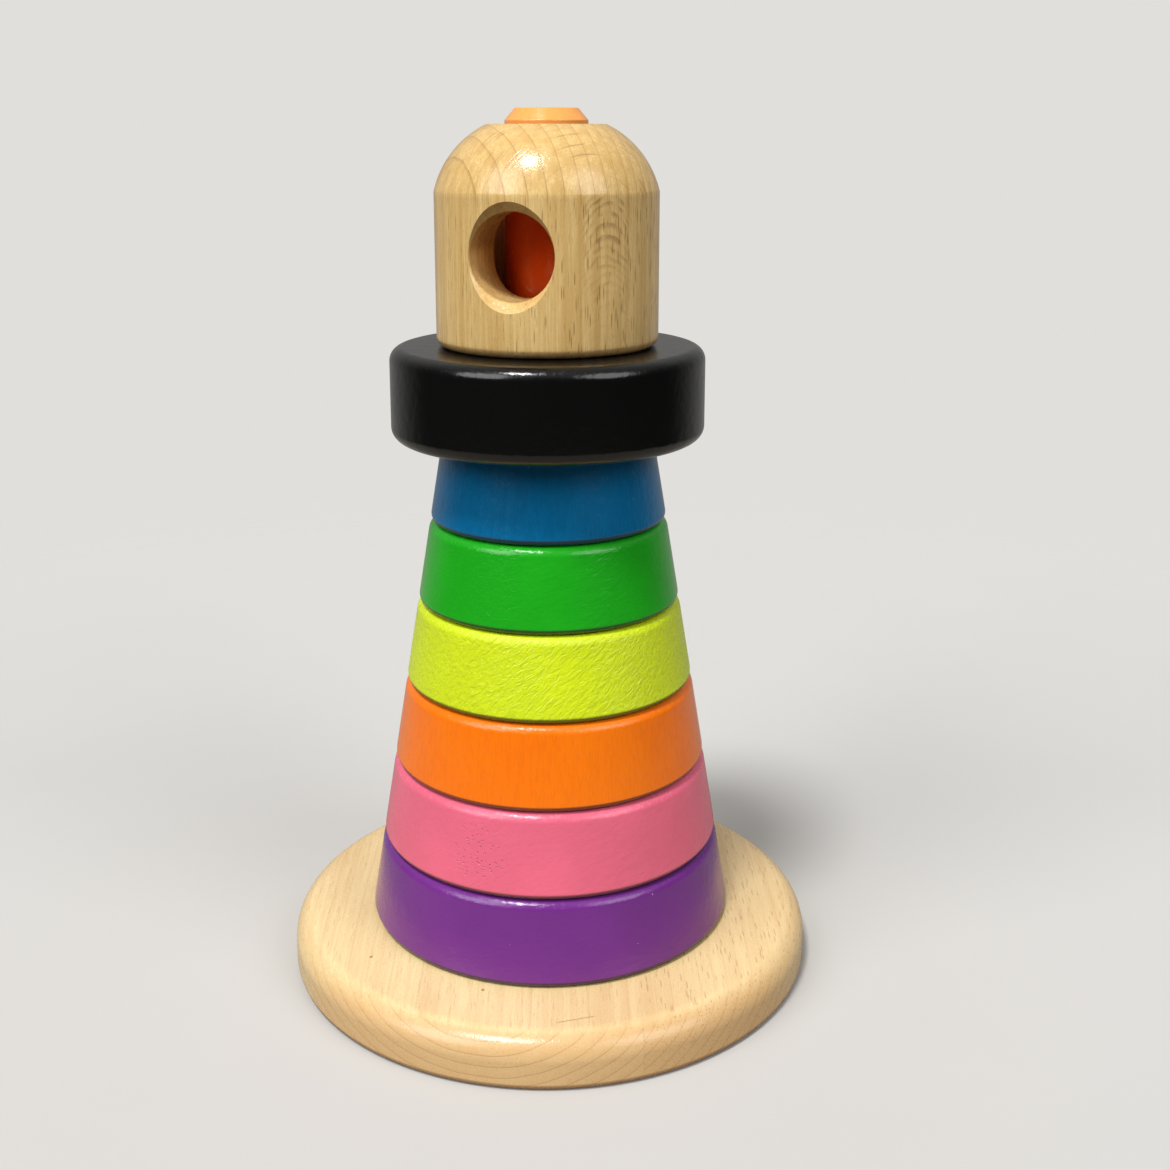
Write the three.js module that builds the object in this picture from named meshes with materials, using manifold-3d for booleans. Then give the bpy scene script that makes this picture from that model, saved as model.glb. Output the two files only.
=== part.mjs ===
// A wooden ring stacker in the shape of a lighthouse: a turned base with a fixed centre post,
// six tapered rings, a wide gallery ring and a domed lamp head that lift off one by one.
// Millimetres, +Z up, origin under the middle of the base, window facing -Y.

import * as THREE from 'three';
import { mergeVertices } from 'three/addons/utils/BufferGeometryUtils.js';
import Module from 'manifold-3d';

// Base
const BASE_DIAMETER = 120;
const BASE_THICKNESS = 11.5;
const BASE_TOP_EDGE = 5.3;
const BASE_BOTTOM_EDGE = 1.7;

// Centre post, a dowel glued into a blind socket in the base
const POST_DIAMETER = 18;
const POST_TIP_CHAMFER = 2.2;
const POST_TIP_CHAMFER_HEIGHT = 2.6;
const POST_STANDS_PROUD = 3.4;
const SOCKET_DEPTH = 8;

// Rings, one cone cut into equal slices
const RING_HEIGHT = 18.5;
const STACK_BOTTOM_DIAMETER = 83.8;
const STACK_TOP_DIAMETER = 47.2;
const RING_TOP_EDGE = 1.6;
const RING_BOTTOM_EDGE = 1;

// Gallery ring
const GALLERY_DIAMETER = 69.6;
const GALLERY_HEIGHT = 20.5;
const GALLERY_EDGE = 3;

// Lamp head
const HEAD_DIAMETER = 48.8;
const HEAD_HEIGHT = 47.4;
const HEAD_WALL_HEIGHT = 33.2;
const HEAD_DOME_RADIUS = 21;
const HEAD_TOP_LAND = 0.4;
const HEAD_BOTTOM_EDGE = 2;
const WINDOW_DIAMETER = 18.5;
const WINDOW_HEIGHT = 20.7;
const WINDOW_COUNTERSINK = 2.1;

// Fits
const POST_CLEARANCE = 3.5;
const BORE_EDGE = 1;
const SEAT_GAP = 0.1;
const GLUE_GAP = 0.15;
const CUT_MARGIN = 5;

// Facets
const FACETS = 48;
const WINDOW_FACETS = 32;
const EDGE_STEPS = 3;
const DOME_STEPS = 7;

// Finishes
const BEECH = { color: 0xdcb878, roughness: 0.5, metalness: 0 };
const PALE_BEECH = { color: 0xecc998, roughness: 0.5, metalness: 0 };
const POST_LACQUER = { color: 0xf0702c, roughness: 0.35, metalness: 0 };
const BLACK_PAINT = { color: 0x151416, roughness: 0.4, metalness: 0 };
const RINGS = [
  { name: 'ring_purple', color: 0x783287 },
  { name: 'ring_pink', color: 0xe16987 },
  { name: 'ring_orange', color: 0xfa781e },
  { name: 'ring_lime', color: 0xd7e623 },
  { name: 'ring_green', color: 0x1ea01e },
  { name: 'ring_blue', color: 0x0f5f96 },
];
const PAINT_ROUGHNESS = 0.35;

const wasm = await Module();
wasm.setup();

const boreRadius = POST_DIAMETER / 2 + POST_CLEARANCE;

function corner(radius, height, edge = 0) {
  return { at: new THREE.Vector2(radius, height), edge };
}

// Points of a rounded corner, an arc tangent to the two lines that meet there
function roundedCorner(before, here, after) {
  const toBefore = before.at.clone().sub(here.at);
  const toAfter = after.at.clone().sub(here.at);
  const room = Math.min(toBefore.length(), toAfter.length()) / 2;
  toBefore.normalize();
  toAfter.normalize();
  const halfAngle = Math.acos(toBefore.dot(toAfter)) / 2;
  const setback = Math.min(here.edge / Math.tan(halfAngle), room);
  const radius = setback * Math.tan(halfAngle);
  const inward = toBefore.clone().add(toAfter).normalize();
  const centre = here.at.clone().addScaledVector(inward, radius / Math.sin(halfAngle));
  const start = here.at.clone().addScaledVector(toBefore, setback).sub(centre).angle();
  const end = here.at.clone().addScaledVector(toAfter, setback).sub(centre).angle();
  const sweep = THREE.MathUtils.euclideanModulo(end - start + Math.PI, 2 * Math.PI) - Math.PI;
  const points = [];
  for (let step = 0; step <= EDGE_STEPS; step += 1) {
    const angle = start + (sweep * step) / EDGE_STEPS;
    points.push(new THREE.Vector2(Math.cos(angle), Math.sin(angle)).multiplyScalar(radius).add(centre));
  }
  return points;
}

// Outline with its corners rounded, in order round the section
function outline(corners) {
  return corners.flatMap((here, index) => {
    if (here.edge === 0) {
      return [here.at];
    }
    const before = corners.at(index - 1);
    const after = corners[(index + 1) % corners.length];
    return roundedCorner(before, here, after);
  });
}

// Inner points of an arc that bulges outward between two points of a section
function domeArc(from, to, radius) {
  const chord = to.clone().sub(from);
  const middle = from.clone().add(to).multiplyScalar(0.5);
  const rise = Math.sqrt(radius ** 2 - chord.lengthSq() / 4);
  const towardsCentre = new THREE.Vector2(-chord.y, chord.x).normalize();
  const centre = middle.addScaledVector(towardsCentre, rise);
  const start = from.clone().sub(centre).angle();
  const end = to.clone().sub(centre).angle();
  const points = [];
  for (let step = 1; step < DOME_STEPS; step += 1) {
    const angle = start + ((end - start) * step) / DOME_STEPS;
    points.push(new THREE.Vector2(Math.cos(angle), Math.sin(angle)).multiplyScalar(radius).add(centre));
  }
  return points;
}

function lathe(points, facets = FACETS) {
  const geometry = new THREE.LatheGeometry(points, facets);
  geometry.rotateX(Math.PI / 2);
  geometry.deleteAttribute('normal');
  geometry.deleteAttribute('uv');
  return mergeVertices(geometry);
}

// A section that goes round a bore closes on itself
function ringLathe(points) {
  return lathe([...points, points[0]]);
}

function toSolid(geometry) {
  return new wasm.Manifold(new wasm.Mesh({
    numProp: 3,
    vertProperties: new Float32Array(geometry.attributes.position.array),
    triVerts: new Uint32Array(geometry.index.array),
  }));
}

function toGeometry(solid) {
  const mesh = solid.getMesh();
  const geometry = new THREE.BufferGeometry();
  geometry.setAttribute('position', new THREE.BufferAttribute(mesh.vertProperties, mesh.numProp));
  geometry.setIndex(new THREE.BufferAttribute(mesh.triVerts, 1));
  return geometry;
}

function makePiece(name, geometry, finish, height) {
  geometry.computeVertexNormals();
  const piece = new THREE.Mesh(geometry, new THREE.MeshStandardMaterial(finish));
  piece.name = name;
  piece.position.z = height;
  return piece;
}

// Base with a blind socket for the post in its top
function baseGeometry() {
  const socketRadius = POST_DIAMETER / 2 + GLUE_GAP;
  return lathe(outline([
    corner(0, 0),
    corner(BASE_DIAMETER / 2, 0, BASE_BOTTOM_EDGE),
    corner(BASE_DIAMETER / 2, BASE_THICKNESS, BASE_TOP_EDGE),
    corner(socketRadius, BASE_THICKNESS),
    corner(socketRadius, BASE_THICKNESS - SOCKET_DEPTH),
    corner(0, BASE_THICKNESS - SOCKET_DEPTH),
  ]));
}

function postGeometry(length) {
  const radius = POST_DIAMETER / 2;
  return lathe(outline([
    corner(0, 0),
    corner(radius, 0),
    corner(radius, length - POST_TIP_CHAMFER_HEIGHT),
    corner(radius - POST_TIP_CHAMFER, length),
    corner(0, length),
  ]));
}

// Slice of the stack: a tapered or straight disc with eased edges and a loose bore
function discGeometry(bottomRadius, topRadius, height, bottomEdge, topEdge) {
  return ringLathe(outline([
    corner(boreRadius + BORE_EDGE, 0),
    corner(bottomRadius, 0, bottomEdge),
    corner(topRadius, height, topEdge),
    corner(boreRadius + BORE_EDGE, height),
    corner(boreRadius, height - BORE_EDGE),
    corner(boreRadius, BORE_EDGE),
  ]));
}

// Drill for the window, with its countersink, lying along -Y from the axis of the head
function windowCutter() {
  const radius = WINDOW_DIAMETER / 2;
  const reach = HEAD_DIAMETER / 2;
  const cutter = lathe([
    new THREE.Vector2(0, 0),
    new THREE.Vector2(radius, 0),
    new THREE.Vector2(radius, reach - WINDOW_COUNTERSINK),
    new THREE.Vector2(radius + WINDOW_COUNTERSINK + CUT_MARGIN, reach + CUT_MARGIN),
    new THREE.Vector2(0, reach + CUT_MARGIN),
  ], WINDOW_FACETS);
  cutter.rotateX(Math.PI / 2);
  cutter.translate(0, 0, WINDOW_HEIGHT);
  return cutter;
}

function headGeometry() {
  const shoulder = new THREE.Vector2(HEAD_DIAMETER / 2, HEAD_WALL_HEIGHT);
  const crown = new THREE.Vector2(boreRadius + HEAD_TOP_LAND, HEAD_HEIGHT);
  const turned = ringLathe([
    ...outline([
      corner(boreRadius, BORE_EDGE),
      corner(boreRadius + BORE_EDGE, 0),
      corner(HEAD_DIAMETER / 2, 0, HEAD_BOTTOM_EDGE),
      corner(shoulder.x, shoulder.y),
    ]),
    ...domeArc(shoulder, crown, HEAD_DOME_RADIUS),
    crown,
    new THREE.Vector2(boreRadius, HEAD_HEIGHT),
  ]);
  return toGeometry(toSolid(turned).subtract(toSolid(windowCutter())));
}

const stacker = new THREE.Group();
stacker.name = 'ring_stacker';
stacker.add(makePiece('base_disc', baseGeometry(), PALE_BEECH, 0));

let top = BASE_THICKNESS;

function stack(name, geometry, finish, height) {
  stacker.add(makePiece(name, geometry, finish, top + SEAT_GAP));
  top += SEAT_GAP + height;
}

const taper = (STACK_BOTTOM_DIAMETER - STACK_TOP_DIAMETER) / 2 / RINGS.length;
RINGS.forEach(({ name, color }, index) => {
  const bottomRadius = STACK_BOTTOM_DIAMETER / 2 - taper * index;
  const geometry = discGeometry(
    bottomRadius, bottomRadius - taper, RING_HEIGHT, RING_BOTTOM_EDGE, RING_TOP_EDGE,
  );
  stack(name, geometry, { color, roughness: PAINT_ROUGHNESS, metalness: 0 }, RING_HEIGHT);
});

const galleryRadius = GALLERY_DIAMETER / 2;
stack(
  'gallery_ring',
  discGeometry(galleryRadius, galleryRadius, GALLERY_HEIGHT, GALLERY_EDGE, GALLERY_EDGE),
  BLACK_PAINT,
  GALLERY_HEIGHT,
);
stack('lamp_head', headGeometry(), BEECH, HEAD_HEIGHT);

const postFoot = BASE_THICKNESS - SOCKET_DEPTH + GLUE_GAP;
const postLength = top + POST_STANDS_PROUD - postFoot;
stacker.add(makePiece('centre_post', postGeometry(postLength), POST_LACQUER, postFoot));

export default stacker;
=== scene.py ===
from math import acos, atan2, cos, pi, radians, sin, sqrt, tan

import bpy
from bpy.props import FloatProperty, FloatVectorProperty, IntProperty, PointerProperty
from mathutils import Matrix, Vector


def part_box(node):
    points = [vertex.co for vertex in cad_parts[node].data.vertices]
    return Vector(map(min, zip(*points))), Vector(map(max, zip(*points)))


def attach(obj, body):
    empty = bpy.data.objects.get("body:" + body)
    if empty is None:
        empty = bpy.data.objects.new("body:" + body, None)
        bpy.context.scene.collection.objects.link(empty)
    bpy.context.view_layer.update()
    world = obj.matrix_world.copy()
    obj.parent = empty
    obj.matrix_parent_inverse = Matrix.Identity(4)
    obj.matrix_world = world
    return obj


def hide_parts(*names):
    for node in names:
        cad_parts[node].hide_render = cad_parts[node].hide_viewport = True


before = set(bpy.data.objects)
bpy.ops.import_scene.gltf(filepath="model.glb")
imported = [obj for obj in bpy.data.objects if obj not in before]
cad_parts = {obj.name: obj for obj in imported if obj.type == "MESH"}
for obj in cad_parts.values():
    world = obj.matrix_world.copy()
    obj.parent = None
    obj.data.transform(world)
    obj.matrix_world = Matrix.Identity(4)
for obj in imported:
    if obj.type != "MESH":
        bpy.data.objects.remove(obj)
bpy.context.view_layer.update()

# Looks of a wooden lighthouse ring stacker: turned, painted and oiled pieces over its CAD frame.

bl_info = {
    "name": "Lighthouse ring stacker",
    "version": (1, 0, 0),
    "blender": (4, 5, 0),
    "location": "View3D > Sidebar > Stacker",
    "description": "Builds the turned, painted and oiled pieces of a wooden ring stacker",
    "category": "Object",
}

MM = 0.001
PER_MM = 1000.0

# The photograph and its camera
IMAGE_WIDTH = 1170
SENSOR_WIDTH = 36.0
NEAR_CLIP = 0.01

# Turned meshes
FILLET_STEPS = 8
DOME_STEPS = 40
WALL_ROWS = 44
MERGE_DISTANCE = 0.002 * MM
SMOOTH_ANGLE = radians(28)
NORMAL_WEIGHT = 80

# Sockets of a Mix node that mixes colours
MIX_FACTOR = 0
MIX_FIRST = 6
MIX_SECOND = 7
MIX_RESULT = 2

# Paint: middle of the patch of pinholes in millimetres, as the camera sees it, and its two radii
PIT_PLACE = (-15.4, -33.7, 39.0)
PIT_REACH = 8.5
PIT_CORE = 3.0
PAINT_SPECULAR = 0.45
DUST = (0.75, 0.72, 0.70, 1.0)
# Near-black painted shade for the lower rounded edges, where the piece below shades them
UNDER_SHADE = (0.010, 0.008, 0.006, 1.0)
RING_NAMES = ("purple", "pink", "orange", "lime", "green", "blue")

# How each paint lies: lean of the wood's fibre from upright in degrees, then strengths from 0 to 1
RING_FINISHES = {
    "purple": dict(lean=80, streaks=0.10, relief=0.18, pinholes=0.0, dust=0.9, gloss=0.17),
    "pink": dict(lean=70, streaks=0.15, relief=0.22, pinholes=1.0, dust=0.2, gloss=0.22),
    "orange": dict(lean=0, streaks=0.45, relief=0.25, pinholes=0.0, dust=0.0, gloss=0.18),
    "lime": dict(lean=50, streaks=0.15, relief=0.85, pinholes=0.0, dust=0.0, gloss=0.27),
    "green": dict(lean=75, streaks=0.20, relief=0.20, pinholes=0.0, dust=0.0, gloss=0.18),
    "blue": dict(lean=0, streaks=0.65, relief=0.25, pinholes=0.0, dust=0.4, gloss=0.22),
}


def length_prop(name, description, default_mm):
    """A size that is written in millimetres and kept in metres."""
    return FloatProperty(name=name, description=description, default=default_mm * MM,
                         min=0.0, precision=5, unit="LENGTH", subtype="DISTANCE")


def angle_prop(name, description, default):
    return FloatProperty(name=name, description=description, default=default, subtype="ANGLE")


def number_prop(name, description, default):
    return FloatProperty(name=name, description=description, default=default, min=0.0)


def colour_prop(name, description, default):
    return FloatVectorProperty(name=name, description=description, default=default,
                               size=3, min=0.0, max=1.0, subtype="COLOR")


class StackerSizes(bpy.types.PropertyGroup):
    """Sizes of the turned pieces that the CAD boxes don't give."""

    facets: IntProperty(name="Facets", description="Steps round each turned piece", default=192, min=24)
    bore: length_prop("Bore", "Diameter of the hole in rings, gallery and head", 25)
    bore_edge: length_prop("Bore edge", "Radius at the rims of the bores", 1)
    stack_bottom: length_prop("Cone bottom", "Diameter of the cone at the lowest ring's foot", 83.8)
    stack_top: length_prop("Cone top", "Diameter of the cone at the highest ring's top", 47.2)
    ring_top_edge: length_prop("Ring top edge", "Radius at the top rim of a ring", 2.4)
    ring_bottom_edge: length_prop("Ring bottom edge", "Radius at the bottom rim of a ring", 1.5)
    gallery_edge: length_prop("Gallery edge", "Radius at the rims of the gallery", 3)
    base_top_edge: length_prop("Base top edge", "Radius at the top rim of the base", 5.3)
    base_bottom_edge: length_prop("Base bottom edge", "Radius at the foot of the base", 1.7)
    socket_depth: length_prop("Socket depth", "Depth of the post's socket in the base", 8)
    glue_gap: length_prop("Glue gap", "Room for glue round the post's foot", 0.15)
    wall_height: length_prop("Head wall", "Height of the head's straight wall", 33.2)
    dome_radius: length_prop("Dome radius", "Radius of the dome's arc", 21)
    top_land: length_prop("Top land", "Flat rim round the bore at the top of the head", 0.4)
    head_bottom_edge: length_prop("Head bottom edge", "Radius at the foot of the head", 2)
    window: length_prop("Window", "Diameter of the window", 18.5)
    window_height: length_prop("Window height", "Window's middle above the head's foot", 20.7)
    countersink: length_prop("Countersink", "Width of the window's sloping rim", 2.1)
    countersink_edge: length_prop("Countersink edge", "Radius where the rim meets the window", 0.7)
    tip_chamfer: length_prop("Tip chamfer", "How far the post's tip draws in", 2.2)
    tip_chamfer_height: length_prop("Tip chamfer height", "Height of the post's chamfer", 2.6)
    tip_edge: length_prop("Tip edge", "Radius where the post's chamfer meets its faces", 0.5)


class StackerColours(bpy.types.PropertyGroup):
    """Paints and woods, as linear colours."""

    purple: colour_prop("Purple", "Paint of the lowest ring", (0.160, 0.026, 0.230))
    pink: colour_prop("Pink", "Paint of the second ring", (0.78, 0.140, 0.225))
    orange: colour_prop("Orange", "Paint of the third ring", (0.97, 0.190, 0.004))
    lime: colour_prop("Lime", "Paint of the fourth ring", (0.66, 0.80, 0.010))
    green: colour_prop("Green", "Paint of the fifth ring", (0.013, 0.39, 0.012))
    blue: colour_prop("Blue", "Paint of the highest ring", (0.002, 0.145, 0.340))
    black: colour_prop("Black", "Paint of the gallery", (0.004, 0.004, 0.004))
    post: colour_prop("Post", "Lacquer of the centre post", (0.80, 0.075, 0.002))
    # Painted highlight: lighter lacquer where the tip of the post meets the light
    post_tip_highlight: colour_prop("Post tip", "Lacquer at the tip of the post, lighter as painted highlight", (1.0, 0.42, 0.10))
    head_pale: colour_prop("Head beech", "Early wood of the head", (0.92, 0.660, 0.285))
    head_warm: colour_prop("Head late wood", "Late wood of the head", (0.68, 0.425, 0.145))
    head_fleck: colour_prop("Head flecks", "Rays and dashes in the head", (0.22, 0.095, 0.028))
    base_pale: colour_prop("Base beech", "Early wood of the base", (0.86, 0.680, 0.360))
    base_warm: colour_prop("Base late wood", "Late wood of the base", (0.68, 0.430, 0.195))
    base_fleck: colour_prop("Base flecks", "Rays and dashes in the base", (0.36, 0.175, 0.065))
    floor: colour_prop("Floor", "Pale floor", (0.556, 0.546, 0.528))
    floor_bounce: colour_prop("Floor bounce", "Floor as it lights the stack", (0.30, 0.28, 0.25))


class StackerView(bpy.types.PropertyGroup):
    """The photograph's camera, relative to the stack's axis, and its light."""

    azimuth: angle_prop("Azimuth", "Turn of the camera from the window's axis", radians(19))
    distance: length_prop("Distance", "From the stack's axis, level", 323.4)
    height: length_prop("Height", "Above the floor", 189.2)
    pitch: angle_prop("Pitch", "Tilt of the lens below level", 0.2141)
    yaw: angle_prop("Yaw", "Turn of the lens to the right of the axis", 0.0255)
    focal_pixels: number_prop("Focal length", "In pixels of the photograph", 1473.7)
    centre_row: number_prop("Centre row", "Row of the lens axis in the photograph", 454)
    key_turn: angle_prop("Key turn", "Turn of the ceiling light from the camera", radians(-34))
    key_rise: angle_prop("Key rise", "Height of the ceiling light above level", radians(64))
    key_width: angle_prop("Key width", "Angle that the ceiling light fills", radians(12))
    key_level: number_prop("Key level", "Of the ceiling light on a face turned to it", 2.1)
    left_turn: angle_prop("Left turn", "Turn of the left soft light from the camera", radians(-52))
    left_level: number_prop("Left level", "Of the left soft light on a face turned to it", 1.45)
    right_turn: angle_prop("Right turn", "Turn of the right soft light from the camera", radians(48))
    right_level: number_prop("Right level", "Of the right soft light on a face turned to it", 1.1)
    soft_rise: angle_prop("Soft rise", "Height of the soft lights above level", radians(34))
    soft_width: angle_prop("Soft width", "Angle that a soft light fills", radians(36))


def sizes():
    return bpy.context.scene.stacker_sizes


def colours():
    return bpy.context.scene.stacker_colours


def view():
    return bpy.context.scene.stacker_view


def seen(right, away, up=0.0):
    """A direction given as the camera sees it."""
    return Matrix.Rotation(view().azimuth, 3, "Z") @ Vector((right, away, up))


# Turning

def fillet(before, corner, after, radius):
    """Points of an arc tangent to the two lines that meet at a corner of a section."""
    to_before = before - corner
    to_after = after - corner
    room = min(to_before.length, to_after.length) / 2
    to_before.normalize()
    to_after.normalize()
    half = acos(to_before.dot(to_after)) / 2
    setback = min(radius / tan(half), room)
    arc = setback * tan(half)
    inward = (to_before + to_after).normalized()
    centre = corner + inward * (arc / sin(half))
    first = corner + to_before * setback - centre
    last = corner + to_after * setback - centre
    start = atan2(first.y, first.x)
    sweep = (atan2(last.y, last.x) - start + pi) % (2 * pi) - pi
    angles = [start + sweep * step / FILLET_STEPS for step in range(FILLET_STEPS + 1)]
    return [centre + Vector((cos(angle), sin(angle))) * arc for angle in angles]


def section(*corners):
    """Outline of a turned piece from (radius, height, edge radius) corners, in order."""
    points = []
    places = [Vector(corner[:2]) for corner in corners]
    for index, (place, corner) in enumerate(zip(places, corners)):
        if corner[2] == 0:
            points.append(place)
        else:
            points += fillet(places[index - 1], place, places[(index + 1) % len(places)], corner[2])
    return points


def arc_between(start, end, radius, steps):
    """Inner points of an arc that bulges outward from start to end."""
    chord = end - start
    centre = (start + end) / 2
    centre += Vector((-chord.y, chord.x)).normalized() * sqrt(radius ** 2 - chord.length_squared / 4)
    first = start - centre
    last = end - centre
    begin = atan2(first.y, first.x)
    sweep = atan2(last.y, last.x) - begin
    angles = [begin + sweep * step / steps for step in range(1, steps)]
    return [centre + Vector((cos(angle), sin(angle))) * radius for angle in angles]


def deselect():
    if bpy.context.object and bpy.context.object.mode != "OBJECT":
        bpy.ops.object.mode_set(mode="OBJECT")
    bpy.ops.object.select_all(action="DESELECT")


def pick(piece):
    """Makes a piece the active one and the only one selected."""
    deselect()
    piece.select_set(True)
    bpy.context.view_layer.objects.active = piece


def merge_doubles():
    bpy.ops.mesh.select_all(action="SELECT")
    bpy.ops.mesh.remove_doubles(threshold=MERGE_DISTANCE)


def turn(name, outline, closed, facets):
    """Draws a section vertex by vertex, spins it round the post's axis and returns the piece."""
    deselect()
    points = [Vector((point.x, 0.0, point.y)) for point in outline]
    bpy.ops.mesh.primitive_plane_add(size=MM, location=points[0])
    piece = bpy.context.object
    piece.name = name
    piece.data.name = name
    bpy.ops.object.transform_apply(location=True, rotation=True, scale=True)
    bpy.ops.object.mode_set(mode="EDIT")
    bpy.ops.mesh.select_mode(type="VERT")
    bpy.ops.mesh.select_all(action="SELECT")
    bpy.ops.mesh.merge(type="CENTER")
    path = points + points[:1] if closed else points
    for start, end in zip(path, path[1:]):
        bpy.ops.mesh.extrude_region_move(TRANSFORM_OT_translate={"value": end - start})
    merge_doubles()
    bpy.ops.mesh.select_all(action="SELECT")
    bpy.ops.mesh.spin(steps=facets, angle=2 * pi, center=(0, 0, 0), axis=(0, 0, 1))
    merge_doubles()
    bpy.ops.mesh.select_all(action="SELECT")
    bpy.ops.mesh.normals_make_consistent(inside=False)
    bpy.ops.object.mode_set(mode="OBJECT")
    return piece


def merge_close(piece):
    """Merges the points that a cut leaves on top of each other."""
    pick(piece)
    bpy.ops.object.mode_set(mode="EDIT")
    merge_doubles()
    bpy.ops.object.mode_set(mode="OBJECT")


def apply_modifier(piece, kind, **settings):
    bpy.context.view_layer.objects.active = piece
    modifier = piece.modifiers.new(kind.title(), kind)
    for key, value in settings.items():
        setattr(modifier, key, value)
    bpy.ops.object.modifier_apply(modifier=modifier.name)


def finish_piece(piece, material, node, body):
    """Smooths a piece, gives it its material and sets it on its CAD body in place of its node."""
    pick(piece)
    bpy.ops.object.shade_smooth_by_angle(angle=SMOOTH_ANGLE)
    apply_modifier(piece, "WEIGHTED_NORMAL", keep_sharp=True, weight=NORMAL_WEIGHT)
    piece.data.materials.clear()
    piece.data.materials.append(material)
    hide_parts(node)
    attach(piece, body)


def disc_section(low, high, bottom_radius, top_radius, bottom_edge, top_edge):
    """Section of a bored disc, straight or tapered."""
    size = sizes()
    bore = size.bore / 2
    return section(
        (bore, low, size.bore_edge),
        (bottom_radius, low, bottom_edge),
        (top_radius, high, top_edge),
        (bore, high, size.bore_edge),
    )


# Node building

def plug(tree, socket, value):
    if isinstance(value, bpy.types.NodeSocket):
        tree.links.new(value, socket)
    else:
        socket.default_value = value


def maths(tree, operation, *values):
    node = tree.nodes.new("ShaderNodeMath")
    node.operation = operation
    for socket, value in zip(node.inputs, values):
        plug(tree, socket, value)
    return node.outputs[0]


def product(tree, *values):
    result = values[0]
    for value in values[1:]:
        result = maths(tree, "MULTIPLY", result, value)
    return result


def total(tree, *values):
    result = values[0]
    for value in values[1:]:
        result = maths(tree, "ADD", result, value)
    return result


def vector_maths(tree, operation, *values):
    node = tree.nodes.new("ShaderNodeVectorMath")
    node.operation = operation
    for socket, value in zip(node.inputs, values):
        plug(tree, socket, value)
    return node.outputs["Value"] if operation in {"LENGTH", "DOT_PRODUCT"} else node.outputs["Vector"]


def split(tree, vector):
    node = tree.nodes.new("ShaderNodeSeparateXYZ")
    plug(tree, node.inputs[0], vector)
    return node.outputs


def noise(tree, vector, stretch, detail=2.0, roughness=0.5, distortion=0.0):
    """Noise with its own scale along each axis."""
    node = tree.nodes.new("ShaderNodeTexNoise")
    plug(tree, node.inputs["Vector"], vector_maths(tree, "MULTIPLY", vector, stretch))
    node.inputs["Scale"].default_value = 1.0
    node.inputs["Detail"].default_value = detail
    node.inputs["Roughness"].default_value = roughness
    node.inputs["Distortion"].default_value = distortion
    return node.outputs[0]


def cells(tree, vector, stretch):
    """Distance from the nearest of many scattered points, and a number of that point's own."""
    node = tree.nodes.new("ShaderNodeTexVoronoi")
    plug(tree, node.inputs["Vector"], vector_maths(tree, "MULTIPLY", vector, stretch))
    node.inputs["Scale"].default_value = 1.0
    return node.outputs["Distance"], split(tree, node.outputs["Color"])["X"]


def ramp(tree, value, low, high, to_low=0.0, to_high=1.0):
    """Smooth step from low to high."""
    node = tree.nodes.new("ShaderNodeMapRange")
    node.interpolation_type = "SMOOTHSTEP"
    for socket, number in zip(node.inputs, (value, low, high, to_low, to_high)):
        plug(tree, socket, number)
    return node.outputs["Result"]


def blend(tree, factor, first, second):
    node = tree.nodes.new("ShaderNodeMix")
    node.data_type = "RGBA"
    plug(tree, node.inputs[MIX_FACTOR], factor)
    plug(tree, node.inputs[MIX_FIRST], first)
    plug(tree, node.inputs[MIX_SECOND], second)
    return node.outputs[MIX_RESULT]


def new_group(name, inputs):
    """A shader node group that makes a surface, with its input and output sockets by name."""
    tree = bpy.data.node_groups.new(name, "ShaderNodeTree")
    for label, kind in inputs.items():
        tree.interface.new_socket(name=label, in_out="INPUT", socket_type=f"NodeSocket{kind}")
    for label, kind in {"Colour": "Color", "Roughness": "Float", "Height": "Float"}.items():
        tree.interface.new_socket(name=label, in_out="OUTPUT", socket_type=f"NodeSocket{kind}")
    return tree, tree.nodes.new("NodeGroupInput").outputs, tree.nodes.new("NodeGroupOutput").inputs


def shared_group(name, build):
    return bpy.data.node_groups.get(name) or build(name)


def place_group(tree, group, values):
    node = tree.nodes.new("ShaderNodeGroup")
    node.node_tree = group
    for label, value in values.items():
        plug(tree, node.inputs[label], value)
    return node.outputs


def rgba(colour, factor=1.0):
    return (*(min(1.0, channel * factor) for channel in colour), 1.0)


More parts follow.
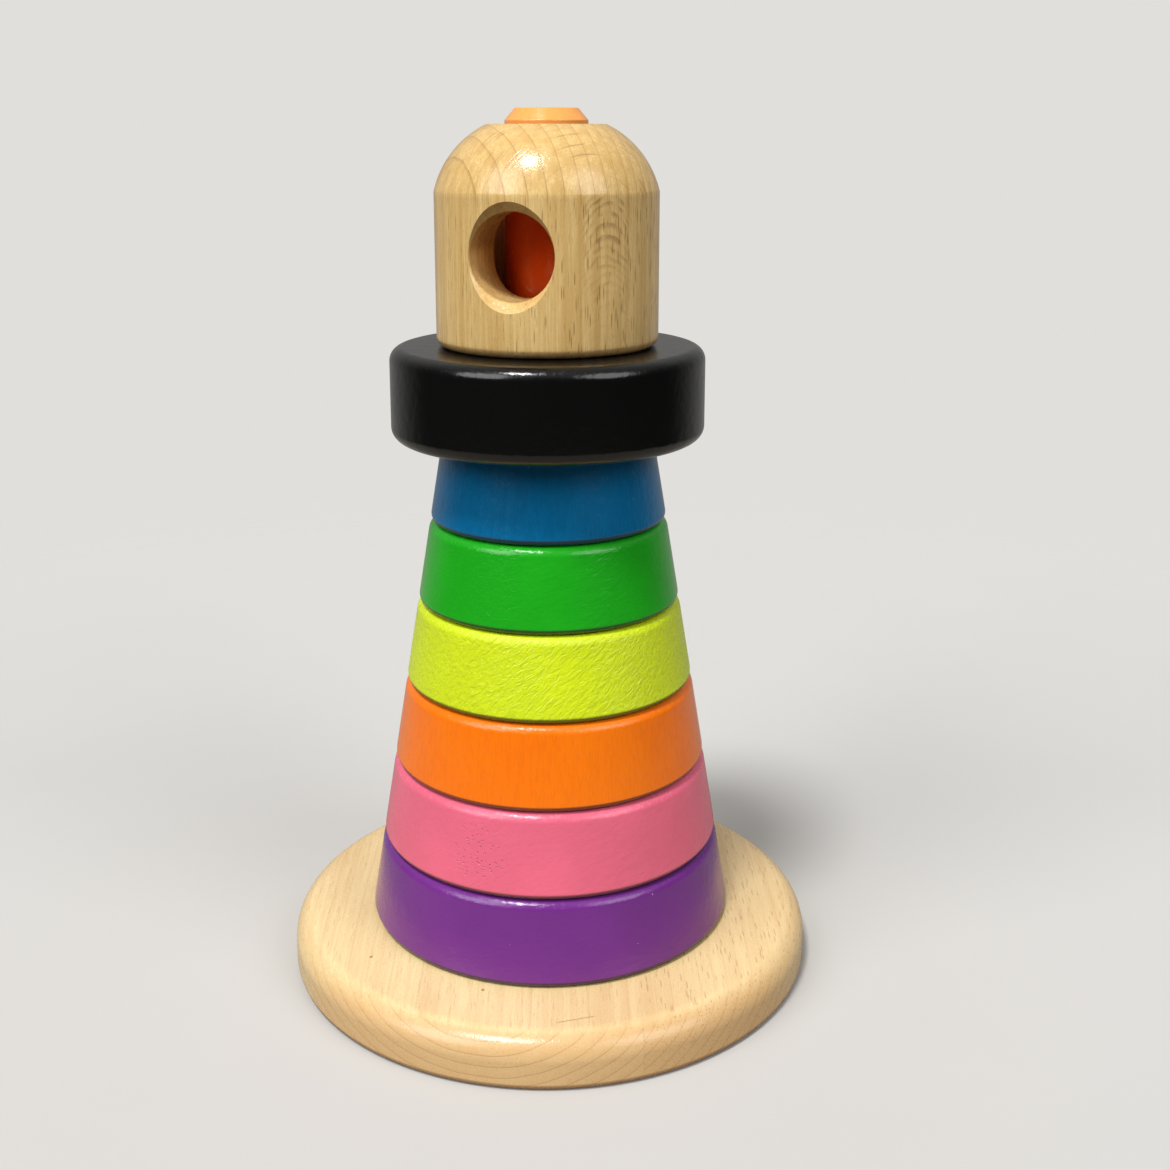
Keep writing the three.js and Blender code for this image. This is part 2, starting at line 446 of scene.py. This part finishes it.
def painted_wood(name):
    """Paint over wood with streaks, dents, pinholes and dust, top edges worn lighter with painted
    highlight, and painted shade on the lower edges. The fibre runs along Z.
    """
    group, given, made = new_group(name, {
        "Fibre": "Vector", "Edge": "Float", "Under": "Float",
        "Paint": "Color", "Shade": "Color", "Light": "Color",
        "Streaks": "Float", "Relief": "Float", "Pinholes": "Float", "Dust": "Float", "Gloss": "Float",
    })
    fibre = given["Fibre"]
    long_streak = noise(group, fibre, (1.1, 1.1, 0.03), detail=3.0)
    fine_streak = noise(group, fibre, (3.6, 3.6, 0.10), detail=2.0)
    streak = product(group, total(group, long_streak, fine_streak), 0.5)
    relief = noise(group, fibre, (1.2, 1.2, 0.4), detail=4.0, roughness=0.6, distortion=0.6)
    speckle = noise(group, fibre, (2.0, 2.0, 2.0), detail=2.0)
    peel = noise(group, fibre, (0.4, 0.4, 0.4), detail=1.0)
    cloud = noise(group, fibre, (0.05, 0.05, 0.05), detail=3.0)
    hole = ramp(group, cells(group, fibre, (1.3, 1.3, 1.0))[0], 0.30, 0.13)
    pinhole = product(group, hole, given["Pinholes"])
    speck, speck_kind = cells(group, fibre, (0.30, 0.30, 0.30))
    specks = product(group, ramp(group, speck, 0.055, 0.03), ramp(group, speck_kind, 0.62, 0.66))
    dust = product(group, specks, given["Dust"])
    # Top edges lightened in patches: worn paint, and painted highlight where the edges meet the light
    chafe = ramp(group, noise(group, fibre, (0.9, 0.9, 0.9), detail=4.0), 0.52, 0.66)
    worn_and_highlit = product(group, given["Edge"], chafe)

    lying = product(group, ramp(group, streak, 0.56, 0.40), given["Streaks"], 0.35)
    colour = blend(group, lying, given["Paint"], given["Shade"])
    colour = blend(group, ramp(group, cloud, 0.42, 0.66, 0.0, 0.4), colour, given["Light"])
    dents = product(group, ramp(group, relief, 0.46, 0.32), given["Relief"], 0.25)
    colour = blend(group, dents, colour, given["Shade"])
    colour = blend(group, product(group, pinhole, 0.5), colour, given["Shade"])
    # Wear and painted highlight together on the top edges
    colour = blend(group, product(group, worn_and_highlit, 0.5), colour, given["Light"])
    colour = blend(group, product(group, dust, 0.6), colour, DUST)
    # Painted shade: lower rounded edges darkened nearly to black, as where the piece below shades them
    colour = blend(group, product(group, given["Under"], 0.8), colour, UNDER_SHADE)
    plug(group, made["Colour"], colour)

    dull = product(group, maths(group, "SUBTRACT", speckle, 0.5), 0.2)
    plug(group, made["Roughness"], total(group, given["Gloss"], dull, product(group, worn_and_highlit, 0.1)))

    raised = product(group, streak, given["Streaks"], 0.4)
    dented = product(group, relief, given["Relief"], 3.0)
    even = total(group, product(group, speckle, 0.14), product(group, peel, 0.5))
    height = total(group, raised, dented, even, product(group, pinhole, -1.2))
    plug(group, made["Height"], height)
    return group


def oiled_beech(name):
    """Beech with growth lines, rays, dashes and fine fibre. X crosses the growth, Z is the grain."""
    group, given, made = new_group(name, {
        "Grain": "Vector", "Growth": "Float", "Edge": "Float", "Marks": "Float",
        "Pale": "Color", "Warm": "Color", "Fleck": "Color",
        "Lines": "Float", "Rays": "Float", "Dashes": "Float", "Streaks": "Float", "Gloss": "Float",
    })
    grain = given["Grain"]
    wander = product(group, noise(group, grain, (0.07, 0.07, 0.015), detail=2.0), 0.5)
    year = maths(group, "FRACT", total(group, given["Growth"], wander))
    ending = ramp(group, year, 1.0, 0.985)
    late = product(group, ramp(group, year, 0.30, 0.97), ending)
    line = product(group, ramp(group, year, 0.88, 0.96), ending)
    fibre = noise(group, grain, (2.4, 2.4, 0.08), detail=3.0, roughness=0.6)
    band = noise(group, grain, (0.6, 0.6, 0.01), detail=3.0)
    cloud = noise(group, grain, (0.05, 0.05, 0.025), detail=2.0)
    speckle = noise(group, grain, (2.0, 2.0, 2.0), detail=2.0)
    ray_distance, ray_kind = cells(group, grain, (0.075, 2.0, 0.06))
    ray = product(group, ramp(group, ray_distance, 0.36, 0.14), ramp(group, ray_kind, 0.25, 0.75))
    dash_distance, dash_kind = cells(group, grain, (2.0, 2.0, 0.18))
    dash = product(group, ramp(group, dash_distance, 0.38, 0.16), ramp(group, dash_kind, 0.2, 0.7))
    pore = ramp(group, cells(group, grain, (4.2, 4.2, 0.6))[0], 0.34, 0.16)
    handled = product(group, given["Edge"], ramp(group, speckle, 0.35, 0.65, 0.1, 0.5))

    warmth = total(
        group,
        product(group, late, given["Lines"], 0.5),
        product(group, ramp(group, band, 0.38, 0.66), given["Streaks"], 0.6),
        ramp(group, cloud, 0.38, 0.68, 0.0, 0.3),
    )
    colour = blend(group, warmth, given["Pale"], given["Warm"])
    colour = blend(group, product(group, line, given["Lines"], 0.62), colour, given["Fleck"])
    combed = product(group, ramp(group, fibre, 0.58, 0.40), given["Streaks"], 0.5)
    colour = blend(group, combed, colour, given["Warm"])
    colour = blend(group, handled, colour, given["Warm"])
    colour = blend(group, product(group, pore, 0.15), colour, given["Fleck"])
    colour = blend(group, product(group, dash, given["Dashes"], 0.6), colour, given["Fleck"])
    colour = blend(group, product(group, ray, given["Rays"], 0.6), colour, given["Fleck"])
    # This input darkens to the fleck colour: real figure, seams and knots, and also painted shade under
    # the lower edges
    plug(group, made["Colour"], blend(group, given["Marks"], colour, given["Fleck"]))

    grainy = product(group, maths(group, "SUBTRACT", speckle, 0.5), 0.22)
    plug(group, made["Roughness"], total(group, given["Gloss"], grainy, product(group, ray, 0.1)))

    sunk_rays = product(group, ray, given["Rays"], -0.25)
    sunk = total(group, sunk_rays, product(group, dash, given["Dashes"], -0.3))
    raised = total(group, product(group, fibre, 0.3), product(group, speckle, 0.4))
    plug(group, made["Height"], total(group, raised, sunk))
    return group


def new_material(name):
    """An empty material with its shader, the place on the piece in millimetres and its normal."""
    material = bpy.data.materials.new(name)
    material.use_nodes = True
    tree = material.node_tree
    tree.nodes.clear()
    shader = tree.nodes.new("ShaderNodeBsdfPrincipled")
    output = tree.nodes.new("ShaderNodeOutputMaterial")
    tree.links.new(shader.outputs["BSDF"], output.inputs["Surface"])
    coordinates = tree.nodes.new("ShaderNodeTexCoord").outputs
    place = vector_maths(tree, "MULTIPLY", coordinates["Object"], (PER_MM,) * 3)
    return material, tree, shader, place, coordinates["Normal"]


def along_grain(tree, place, across, along):
    """The place in the wood's own axes: X across the growth, Z along the grain."""
    tangent = along.cross(across).normalized()
    axes = Matrix((tangent.cross(along.normalized()), tangent, along.normalized())).transposed()
    node = tree.nodes.new("ShaderNodeMapping")
    node.vector_type = "TEXTURE"
    node.inputs["Rotation"].default_value = axes.to_euler()
    plug(tree, node.inputs["Vector"], place)
    return node.outputs["Vector"]


def wire_surface(tree, shader, surface, bump_distance, bump_strength):
    plug(tree, shader.inputs["Base Color"], surface["Colour"])
    plug(tree, shader.inputs["Roughness"], surface["Roughness"])
    bump = tree.nodes.new("ShaderNodeBump")
    bump.inputs["Strength"].default_value = bump_strength
    bump.inputs["Distance"].default_value = bump_distance
    plug(tree, bump.inputs["Height"], surface["Height"])
    plug(tree, shader.inputs["Normal"], bump.outputs["Normal"])


def edge_mask(tree, normal):
    """Where a rounded top edge leans between the wall and the top."""
    facing_up = split(tree, normal)["Z"]
    return product(tree, ramp(tree, facing_up, 0.25, 0.5), ramp(tree, facing_up, 0.98, 0.85))


def under_shade_mask(tree, normal):
    """Where a rounded lower edge turns to the piece below and takes painted shade."""
    return ramp(tree, split(tree, normal)["Z"], 0.05, -0.3)


def paint_material(name, paint, lean, streaks, relief, pinholes, dust, gloss):
    """Semi-gloss paint on wood whose fibre leans from upright as the camera sees it."""
    material, tree, shader, place, normal = new_material(name)
    along = seen(sin(radians(lean)), 0.25 * sin(radians(lean)), cos(radians(lean)))
    from_pits = vector_maths(tree, "LENGTH", vector_maths(tree, "SUBTRACT", place, seen(*PIT_PLACE)))
    surface = place_group(tree, shared_group("Painted wood", painted_wood), {
        "Fibre": along_grain(tree, place, seen(0, 1), along),
        "Edge": edge_mask(tree, normal),
        "Under": under_shade_mask(tree, normal),
        "Paint": rgba(paint),
        "Shade": rgba(paint, 0.55),
        "Light": rgba(paint, 1.18),
        "Streaks": streaks,
        "Relief": relief,
        "Pinholes": ramp(tree, from_pits, PIT_REACH, PIT_CORE, 0.0, pinholes),
        "Dust": dust,
        "Gloss": gloss,
    })
    wire_surface(tree, shader, surface, bump_distance=0.25 * MM, bump_strength=0.6)
    shader.inputs["Specular IOR Level"].default_value = PAINT_SPECULAR
    return material


# Pieces

class STACKER_OT_base(bpy.types.Operator):
    """Turn the beech base with its rounded rim and the socket for the post"""

    bl_idname = "stacker.base"
    bl_label = "Base"

    # Places in millimetres: the glue seam across the grain, the wood's pith in its own axes, the dots
    seam_place = 18.8
    pith_place = (52.0, -16.0, 0.0)
    dots = ((-39.7, -27.8), (-14.5, -41.3))

    def execute(self, context):
        size = sizes()
        low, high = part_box("base_disc")
        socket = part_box("centre_post")[1].x + size.glue_gap
        socket_floor = high.z - size.socket_depth
        outline = section(
            (0, low.z, 0),
            (high.x, low.z, size.base_bottom_edge),
            (high.x, high.z, size.base_top_edge),
            (socket, high.z, 0),
            (socket, socket_floor, 0),
            (0, socket_floor, 0),
        )
        piece = turn("beech_base", outline, closed=False, facets=size.facets)
        finish_piece(piece, self.wood(), "base_disc", "base")
        return {"FINISHED"}

    def wood(self):
        """Pale beech of two glued staves, with its grain running away from the viewer."""
        colour = colours()
        material, tree, shader, place, normal = new_material("Pale beech")
        grain = along_grain(tree, place, Vector((0, 0, 1)), seen(0, 1))
        from_seam = maths(tree, "SUBTRACT", split(tree, grain)["Y"], self.seam_place)
        stave = ramp(tree, from_seam, -0.1, 0.1)
        seam = ramp(tree, maths(tree, "ABSOLUTE", from_seam), 0.2, 0.05, 0.0, 0.12)
        pith = vector_maths(tree, "SUBTRACT", grain, self.pith_place)
        radius = vector_maths(tree, "LENGTH", vector_maths(tree, "MULTIPLY", pith, (1.0, 1.0, 0.0)))
        growth = total(tree, product(tree, radius, 0.42), product(tree, stave, 0.37))
        facing_front = maths(tree, "ABSOLUTE", vector_maths(tree, "DOT_PRODUCT", normal, seen(0, 1)))
        end_grain = ramp(tree, facing_front, 0.25, 0.7)
        tone = total(tree, product(tree, stave, 0.2), product(tree, end_grain, 0.75))
        marks_and_shade = maths(tree, "MAXIMUM", seam, self.scratch(tree, place))
        # Painted shade: the rounded foot of the base darkens towards the floor
        marks_and_shade = maths(tree, "MAXIMUM", marks_and_shade, product(tree, under_shade_mask(tree, normal), 0.6))
        for right, away in self.dots:
            marks_and_shade = maths(tree, "MAXIMUM", marks_and_shade, self.dot(tree, place, right, away))
        surface = place_group(tree, shared_group("Oiled beech", oiled_beech), {
            "Grain": grain,
            "Growth": growth,
            "Edge": edge_mask(tree, normal),
            "Marks": marks_and_shade,
            "Pale": blend(tree, tone, rgba(colour.base_pale), rgba(colour.base_warm)),
            "Warm": rgba(colour.base_warm),
            "Fleck": rgba(colour.base_fleck),
            "Lines": ramp(tree, end_grain, 0.0, 1.0, 0.18, 0.85),
            "Rays": 0.15,
            "Dashes": ramp(tree, stave, 0.0, 1.0, 0.35, 0.8),
            "Streaks": 0.4,
            "Gloss": 0.25,
        })
        wire_surface(tree, shader, surface, bump_distance=0.2 * MM, bump_strength=0.4)
        return material

    def scratch(self, tree, place):
        """A thin dark scratch near the front of the top face."""
        start = seen(0.75, -53.6)
        course = seen(9.41, -51.3) - start
        length = course.length
        course.normalize()
        from_start = vector_maths(tree, "SUBTRACT", place, start)
        far = vector_maths(tree, "DOT_PRODUCT", from_start, course)
        aside = vector_maths(tree, "DOT_PRODUCT", from_start, course.cross(Vector((0, 0, 1))))
        within = product(tree, ramp(tree, far, 0.0, 1.0), ramp(tree, far, length, length - 1))
        return product(tree, within, ramp(tree, maths(tree, "ABSOLUTE", aside), 0.18, 0.06), 0.8)

    def dot(self, tree, place, right, away):
        """A small dark knot on the top face."""
        offset = vector_maths(tree, "SUBTRACT", place, seen(right, away))
        level = vector_maths(tree, "MULTIPLY", offset, (1.0, 1.0, 0.0))
        return ramp(tree, vector_maths(tree, "LENGTH", level), 0.5, 0.25, 0.0, 0.9)


class STACKER_OT_post(bpy.types.Operator):
    """Turn the lacquered dowel with its chamfered tip"""

    bl_idname = "stacker.post"
    bl_label = "Centre post"

    # Depths below the top between which the lacquer turns into the painted highlight of the tip, in
    # millimetres
    fade_start = 6
    fade_end = 3

    def execute(self, context):
        size = sizes()
        low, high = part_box("centre_post")
        outline = section(
            (0, low.z, 0),
            (high.x, low.z, size.tip_edge),
            (high.x, high.z - size.tip_chamfer_height, size.tip_edge),
            (high.x - size.tip_chamfer, high.z, size.tip_edge),
            (0, high.z, 0),
        )
        piece = turn("orange_post", outline, closed=False, facets=size.facets)
        finish_piece(piece, self.lacquer(high.z / MM), "centre_post", "base")
        return {"FINISHED"}

    def lacquer(self, top):
        """Orange lacquer over upright grain, lighter at the tip as painted highlight."""
        colour = colours()
        material, tree, shader, place, normal = new_material("Orange lacquer")
        # Painted highlight: the lacquer lightens towards the top of the tip
        painted_tip_light = ramp(tree, split(tree, place)["Z"], top - self.fade_start, top - self.fade_end)
        paint = blend(tree, painted_tip_light, rgba(colour.post), rgba(colour.post_tip_highlight))
        surface = place_group(tree, shared_group("Painted wood", painted_wood), {
            "Fibre": place,
            "Edge": edge_mask(tree, normal),
            "Under": 0.0,
            "Paint": paint,
            "Shade": rgba(colour.post, 0.7),
            "Light": paint,
            "Streaks": 0.15,
            "Relief": 0.06,
            "Pinholes": 0.0,
            "Dust": 0.0,
            "Gloss": 0.24,
        })
        wire_surface(tree, shader, surface, bump_distance=0.25 * MM, bump_strength=0.6)
        return material


class STACKER_OT_rings(bpy.types.Operator):
    """Turn the tapered rings, one slice of the cone each, and paint them"""

    bl_idname = "stacker.rings"
    bl_label = "Rings"

    def execute(self, context):
        size = sizes()
        taper = (size.stack_bottom - size.stack_top) / 2 / len(RING_NAMES)
        for index, name in enumerate(RING_NAMES):
            node = f"ring_{name}"
            low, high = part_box(node)
            radius = size.stack_bottom / 2 - taper * index
            outline = disc_section(low.z, high.z, radius, radius - taper,
                                   size.ring_bottom_edge, size.ring_top_edge)
            piece = turn(f"{name}_ring", outline, closed=True, facets=size.facets)
            colour = getattr(colours(), name)
            paint = paint_material(f"{name.capitalize()} paint", colour, **RING_FINISHES[name])
            finish_piece(piece, paint, node, name)
        return {"FINISHED"}


class STACKER_OT_gallery(bpy.types.Operator):
    """Turn the wide black gallery ring"""

    bl_idname = "stacker.gallery"
    bl_label = "Gallery ring"

    def execute(self, context):
        size = sizes()
        low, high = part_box("gallery_ring")
        outline = disc_section(low.z, high.z, high.x, high.x, size.gallery_edge, size.gallery_edge)
        piece = turn("black_gallery", outline, closed=True, facets=size.facets)
        paint = paint_material("Black paint", colours().black, lean=35, streaks=0.1,
                               relief=0.06, pinholes=0.0, dust=0.15, gloss=0.17)
        finish_piece(piece, paint, "gallery_ring", "gallery")
        return {"FINISHED"}


class STACKER_OT_head(bpy.types.Operator):
    """Turn the domed beech head and drill its round window"""

    bl_idname = "stacker.head"
    bl_label = "Lamp head"

    # Turns about the post as the camera sees them: growth from rightward, arches from the front
    growth_lie = radians(25)
    arches_turn = radians(31)

    def execute(self, context):
        size = sizes()
        low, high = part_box("lamp_head")
        bore = size.bore / 2
        shoulder = Vector((high.x, low.z + size.wall_height))
        crown = Vector((bore + size.top_land, high.z))
        # The dome and the wall are drawn finer than their corners, so the shoulder is added again below
        *foot, _, crown_rim, bore_rim = section(
            (bore, low.z, size.bore_edge),
            (high.x, low.z, size.head_bottom_edge),
            (*shoulder, 0),
            (*crown, 0),
            (bore, high.z, 0),
        )
        rows = [foot[-1].lerp(shoulder, row / WALL_ROWS) for row in range(1, WALL_ROWS)]
        dome = arc_between(shoulder, crown, size.dome_radius, DOME_STEPS)
        outline = foot + rows + [shoulder] + dome + [crown_rim, bore_rim]
        piece = turn("beech_head", outline, closed=True, facets=size.facets)
        drill = self.drill(low.z + size.window_height, high.x)
        apply_modifier(piece, "BOOLEAN", operation="DIFFERENCE", solver="EXACT", object=drill)
        bpy.data.objects.remove(drill)
        merge_close(piece)
        finish_piece(piece, self.wood(shoulder.y / MM), "lamp_head", "head")
        return {"FINISHED"}

    def drill(self, height, reach):
        """Cutter for the window with its countersink, lying along -Y."""
        size = sizes()
        radius = size.window / 2
        flare = size.countersink
        outline = section(
            (0, 0, 0),
            (radius, 0, 0),
            (radius, reach - flare, size.countersink_edge),
            (radius + 2 * flare, reach + flare, 0),
            (0, reach + flare, 0),
        )
        cutter = turn("window_drill", outline, closed=False, facets=size.facets // 2)
        cutter.rotation_euler.x = pi / 2
        cutter.location.z = height
        bpy.ops.object.transform_apply(location=True, rotation=True, scale=True)
        return cutter

    def wood(self, shoulder):
        """Beech with upright grain: growth lines and rays cross the dome, dashes lie on the wall."""
        colour = colours()
        material, tree, shader, place, normal = new_material("Head beech")
        across_growth = seen(cos(self.growth_lie), sin(self.growth_lie))
        grain = along_grain(tree, place, across_growth, Vector((0, 0, 1)))
        across = split(tree, grain)["X"]
        height = split(tree, place)["Z"]
        growth = total(tree, product(tree, across, 0.34), product(tree, across, across, 0.002))
        rightward = vector_maths(tree, "DOT_PRODUCT", place, seen(1, 0))
        right_dashes = ramp(tree, rightward, -14.0, 4.0, 0.6, 0.95)
        wall_dashes = ramp(tree, height, shoulder + 2, shoulder - 3, 0.2, 1.0)
        arches = self.arches(tree, place, height, shoulder)
        # Painted shade: the head's rounded foot darkens where it sits on the gallery
        head_under_shade = product(tree, under_shade_mask(tree, normal), 0.5)
        surface = place_group(tree, shared_group("Oiled beech", oiled_beech), {
            "Grain": grain,
            "Growth": growth,
            "Edge": edge_mask(tree, normal),
            "Marks": maths(tree, "MAXIMUM", arches, head_under_shade),
            "Pale": rgba(colour.head_pale),
            "Warm": rgba(colour.head_warm),
            "Fleck": rgba(colour.head_fleck),
            "Lines": ramp(tree, height, shoulder - 4, shoulder + 2, 0.15, 0.7),
            "Rays": ramp(tree, height, shoulder - 4, shoulder + 1, 0.04, 0.65),
            "Dashes": product(tree, right_dashes, wall_dashes),
            "Streaks": 1.0,
            "Gloss": 0.19,
        })
        wire_surface(tree, shader, surface, bump_distance=0.25 * MM, bump_strength=0.45)
        return material

    def arches(self, tree, place, height, shoulder):
        """Nested arches of figure where the wall lies along the growth, to the right of the window."""
        outward = seen(sin(self.arches_turn), -cos(self.arches_turn))
        sideways = seen(cos(self.arches_turn), sin(self.arches_turn))
        aside = vector_maths(tree, "DOT_PRODUCT", place, sideways)
        facing = ramp(tree, vector_maths(tree, "DOT_PRODUCT", place, outward), 14.0, 20.0)
        wobble = noise(tree, place, (0.14, 0.14, 0.10), detail=4.0)
        arch = total(tree, height, product(tree, aside, aside, 0.15), product(tree, wobble, 5.0))
        step = maths(tree, "FRACT", product(tree, arch, 0.50))
        mark = product(tree, ramp(tree, step, 0.2, 0.8), ramp(tree, step, 1.0, 0.85))
        near = ramp(tree, maths(tree, "ABSOLUTE", aside), 7.5, 3.0)
        fading = ramp(tree, height, shoulder - 26, shoulder - 6, 0.2, 1.0)
        below = ramp(tree, height, shoulder + 0.5, shoulder - 1.0)
        patchy = ramp(tree, noise(tree, place, (0.6, 0.6, 0.4), detail=4.0), 0.35, 0.65, 0.15, 1.0)
        return product(tree, mark, facing, near, fading, below, patchy, 0.5)


# Stage

class STACKER_OT_stage(bpy.types.Operator):
    """Lay the pale floor and set the lights, the world and the photograph's camera"""

    bl_idname = "stacker.stage"
    bl_label = "Stage"

    floor_radius = 0.5
    floor_facets = 96
    floor_drop = 0.05 * MM
    floor_roughness = 0.9
    background = (0.752, 0.738, 0.709, 1.0)
    room_colour = (1.0, 0.985, 0.96, 1.0)

    # Distances from the axis between which the floor fades into the background, in millimetres
    fade_start = 300
    fade_end = 480

    # Strengths of the room's light
    behind_level = 0.28
    above_level = 0.4
    least_level = 0.02

    def execute(self, context):
        self.lay_floor()
        light = view()
        key = (light.key_rise, light.key_width)
        soft = (light.soft_rise, light.soft_width)
        self.hang_light("ceiling_light", light.key_turn, light.key_level, *key)
        self.hang_light("left_light", light.left_turn, light.left_level, *soft)
        self.hang_light("right_light", light.right_turn, light.right_level, *soft)
        self.set_world()
        self.set_camera()
        context.scene.view_settings.view_transform = "Standard"
        return {"FINISHED"}

    def lay_floor(self):
        deselect()
        bpy.ops.mesh.primitive_circle_add(vertices=self.floor_facets, radius=self.floor_radius,
                                          fill_type="NGON", location=(0, 0, -self.floor_drop))
        floor = bpy.context.object
        floor.name = "pale_floor"
        bpy.ops.object.transform_apply(location=True, rotation=True, scale=True)
        material, tree, shader, place, _ = new_material("Pale floor")
        mottle = ramp(tree, noise(tree, place, (0.02, 0.02, 0.02), detail=3.0), 0.3, 0.7, 0.0, 0.3)
        colour = blend(tree, mottle, rgba(colours().floor), rgba(colours().floor, 0.97))
        in_view = tree.nodes.new("ShaderNodeLightPath").outputs["Is Camera Ray"]
        bounce = rgba(colours().floor_bounce)
        plug(tree, shader.inputs["Base Color"], blend(tree, in_view, bounce, colour))
        from_axis = vector_maths(tree, "LENGTH", place)
        plug(tree, shader.inputs["Alpha"], ramp(tree, from_axis, self.fade_end, self.fade_start))
        shader.inputs["Roughness"].default_value = self.floor_roughness
        shader.inputs["Specular IOR Level"].default_value = 0.0
        floor.data.materials.append(material)

    def hang_light(self, name, aside, level, rise, width):
        """A far light in front of the stack, turned aside from the camera."""
        back = seen(sin(aside) * cos(rise), -cos(aside) * cos(rise), sin(rise))
        deselect()
        facing = back.to_track_quat("Z", "Y").to_euler()
        bpy.ops.object.light_add(type="SUN", location=back, rotation=facing)
        light = bpy.context.object
        light.name = name
        light.data.energy = level
        light.data.angle = width

    def set_world(self):
        """Soft light from behind the stack and above, and a plain pale background."""
        world = bpy.data.worlds.new("Studio")
        bpy.context.scene.world = world
        world.use_nodes = True
        tree = world.node_tree
        tree.nodes.clear()
        heading = tree.nodes.new("ShaderNodeTexCoord").outputs["Generated"]
        behind = vector_maths(tree, "DOT_PRODUCT", heading, seen(0, 1))
        from_behind = ramp(tree, behind, 0.1, 0.8, 0.0, self.behind_level)
        from_above = ramp(tree, split(tree, heading)["Z"], 0.3, 0.95, 0.0, self.above_level)
        room = tree.nodes.new("ShaderNodeBackground")
        room.inputs["Color"].default_value = self.room_colour
        plug(tree, room.inputs["Strength"], total(tree, from_behind, from_above, self.least_level))
        plain = tree.nodes.new("ShaderNodeBackground")
        plain.inputs["Color"].default_value = self.background
        chosen = tree.nodes.new("ShaderNodeMixShader")
        plug(tree, chosen.inputs[0], tree.nodes.new("ShaderNodeLightPath").outputs["Is Camera Ray"])
        plug(tree, chosen.inputs[1], room.outputs[0])
        plug(tree, chosen.inputs[2], plain.outputs[0])
        output = tree.nodes.new("ShaderNodeOutputWorld")
        plug(tree, output.inputs["Surface"], chosen.outputs[0])

    def set_camera(self):
        lens = view()
        deselect()
        bpy.ops.object.camera_add(location=seen(0, -lens.distance, lens.height),
                                  rotation=(pi / 2 - lens.pitch, 0, lens.azimuth - lens.yaw))
        camera = bpy.context.object
        camera.name = "photo_camera"
        camera.data.sensor_width = SENSOR_WIDTH
        camera.data.lens = lens.focal_pixels / IMAGE_WIDTH * SENSOR_WIDTH
        camera.data.shift_y = (lens.centre_row - IMAGE_WIDTH / 2) / IMAGE_WIDTH
        camera.data.clip_start = NEAR_CLIP
        bpy.context.scene.camera = camera


class STACKER_PT_sidebar(bpy.types.Panel):
    """Lists the pieces and the stage in the sidebar"""

    bl_idname = "STACKER_PT_sidebar"
    bl_label = "Ring stacker"
    bl_space_type = "VIEW_3D"
    bl_region_type = "UI"
    bl_category = "Stacker"

    def draw(self, context):
        for operator in OPERATORS:
            self.layout.operator(operator.bl_idname)
        for settings in (sizes(), colours(), view()):
            box = self.layout.box()
            for key in settings.__annotations__:
                box.prop(settings, key)


OPERATORS = (
    STACKER_OT_stage,
    STACKER_OT_base,
    STACKER_OT_post,
    STACKER_OT_rings,
    STACKER_OT_gallery,
    STACKER_OT_head,
)
CLASSES = (StackerSizes, StackerColours, StackerView, *OPERATORS, STACKER_PT_sidebar)


def register():
    for kind in CLASSES:
        bpy.utils.register_class(kind)
    bpy.types.Scene.stacker_sizes = PointerProperty(type=StackerSizes)
    bpy.types.Scene.stacker_colours = PointerProperty(type=StackerColours)
    bpy.types.Scene.stacker_view = PointerProperty(type=StackerView)


def unregister():
    del bpy.types.Scene.stacker_view
    del bpy.types.Scene.stacker_colours
    del bpy.types.Scene.stacker_sizes
    for kind in reversed(CLASSES):
        bpy.utils.unregister_class(kind)


def main():
    register()
    bpy.ops.stacker.stage()
    bpy.ops.stacker.base()
    bpy.ops.stacker.post()
    bpy.ops.stacker.rings()
    bpy.ops.stacker.gallery()
    bpy.ops.stacker.head()


if __name__ == "__main__":
    main()
